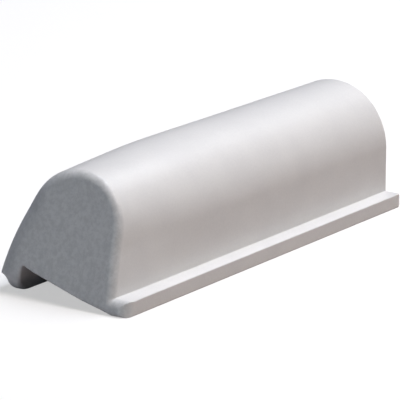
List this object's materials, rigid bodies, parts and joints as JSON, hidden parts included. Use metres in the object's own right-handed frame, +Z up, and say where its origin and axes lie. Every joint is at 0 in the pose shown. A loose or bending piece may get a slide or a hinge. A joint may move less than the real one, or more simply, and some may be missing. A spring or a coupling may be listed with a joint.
{
  "type": "dock fender",
  "caption": "Half-round white vinyl dock fender with a flat screw flange along its front foot and a lip at the back that hooks over a dock's edge.",
  "frame": {"origin": "middle of the bounding box, on the floor that the fender rests on", "axes": "+X along the fender from its rounded near end to its square far end, +Y from the flange to the lip, +Z up"},
  "size_m": [0.4594, 0.155, 0.122],
  "materials": {
    "vinyl": "satin white vinyl, smooth, with a fine moulded grain"
  },
  "bodies": {
    "root": {"fender_body": "vinyl"}
  },
  "joints": []
}
